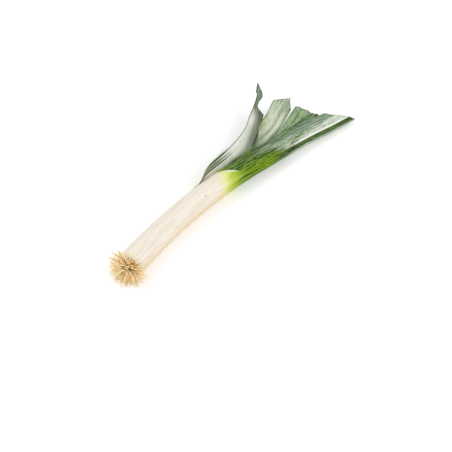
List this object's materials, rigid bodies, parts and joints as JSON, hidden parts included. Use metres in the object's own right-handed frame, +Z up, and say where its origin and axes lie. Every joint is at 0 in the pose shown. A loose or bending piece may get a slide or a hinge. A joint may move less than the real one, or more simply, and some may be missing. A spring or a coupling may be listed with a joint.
{
  "type": "leek",
  "caption": "Whole fresh leek with its root beard, white shaft and a fan of folded green leaves cut back at the tips, lying on its side.",
  "frame": {"origin": "on the surface it lies on, under the middle of its bounding box", "axes": "+X from the roots to the leaf tips, along the leaves' end of the shaft; +Y to the left of that; +Z up"},
  "size_m": [0.45, 0.1364, 0.0469],
  "materials": {
    "roots": "dry straw-coloured root fibre",
    "shaft": "smooth satin white skin with fine lengthwise ribs",
    "leaf_green": "ribbed green leaf with a bluish wax bloom, yellow-green to white at its foot",
    "leaf_pale": "dull grey-green inner face of a leaf"
  },
  "bodies": {
    "root": {"roots": "roots", "shaft": "shaft", "leaf_1": "leaf_pale", "leaf_2": "leaf_green", "leaf_3": "leaf_pale", "leaf_4": "leaf_green", "leaf_5": "leaf_green", "leaf_6": "leaf_green", "leaf_7": "leaf_green"}
  },
  "joints": []
}
